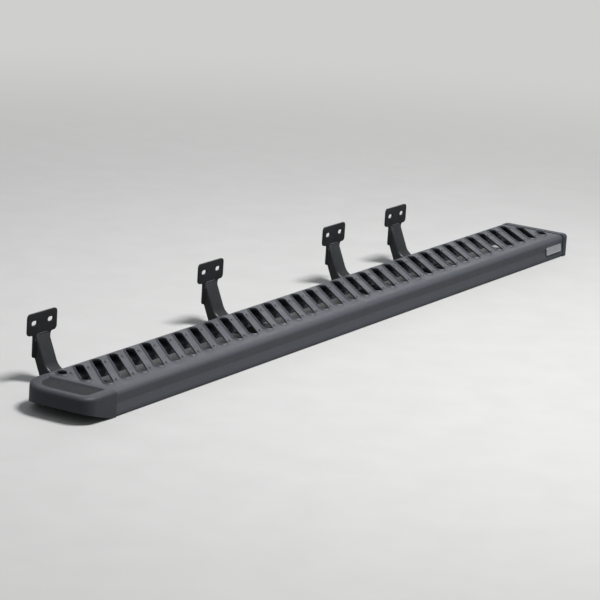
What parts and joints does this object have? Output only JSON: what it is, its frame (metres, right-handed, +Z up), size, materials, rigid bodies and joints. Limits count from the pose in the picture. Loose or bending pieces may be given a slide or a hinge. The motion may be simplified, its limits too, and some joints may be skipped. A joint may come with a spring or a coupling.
{
  "type": "running board",
  "caption": "Formed steel running board with slanted turned-up tread slots, moulded end caps, bolt tracks underneath and pressed mounting brackets.",
  "frame": {"origin": "middle of the whole part's box, on the surface that the outboard skirt and the bracket arms stand on", "axes": "+X along the board towards the vehicle's rear, -Y outboard, +Y towards the vehicle, +Z up"},
  "size_m": [1.905, 0.2522, 0.132],
  "materials": {
    "textured_black_powder_coat": "textured powder coat, satin",
    "moulded_black_plastic": "finely grained, satin",
    "black_painted_steel": "satin paint",
    "zinc_plated_steel": "bright zinc"
  },
  "bodies": {
    "root": {"deck": "textured_black_powder_coat", "outer_track": "textured_black_powder_coat", "inner_track": "textured_black_powder_coat", "front_end_cap": "moulded_black_plastic", "rear_end_cap": "moulded_black_plastic", "front_cap_screw": "zinc_plated_steel", "rear_cap_screw": "zinc_plated_steel", "bracket_1": "black_painted_steel", "outer_t_bolt_1": "zinc_plated_steel", "outer_washer_1": "zinc_plated_steel", "outer_nut_1": "zinc_plated_steel", "inner_t_bolt_1": "zinc_plated_steel", "inner_washer_1": "zinc_plated_steel", "inner_nut_1": "zinc_plated_steel", "bracket_2": "black_painted_steel", "outer_t_bolt_2": "zinc_plated_steel", "outer_washer_2": "zinc_plated_steel", "outer_nut_2": "zinc_plated_steel", "inner_t_bolt_2": "zinc_plated_steel", "inner_washer_2": "zinc_plated_steel", "inner_nut_2": "zinc_plated_steel", "bracket_3": "black_painted_steel", "outer_t_bolt_3": "zinc_plated_steel", "outer_washer_3": "zinc_plated_steel", "outer_nut_3": "zinc_plated_steel", "inner_t_bolt_3": "zinc_plated_steel", "inner_washer_3": "zinc_plated_steel", "inner_nut_3": "zinc_plated_steel", "bracket_4": "black_painted_steel", "outer_t_bolt_4": "zinc_plated_steel", "outer_washer_4": "zinc_plated_steel", "outer_nut_4": "zinc_plated_steel", "inner_t_bolt_4": "zinc_plated_steel", "inner_washer_4": "zinc_plated_steel", "inner_nut_4": "zinc_plated_steel"}
  },
  "joints": []
}
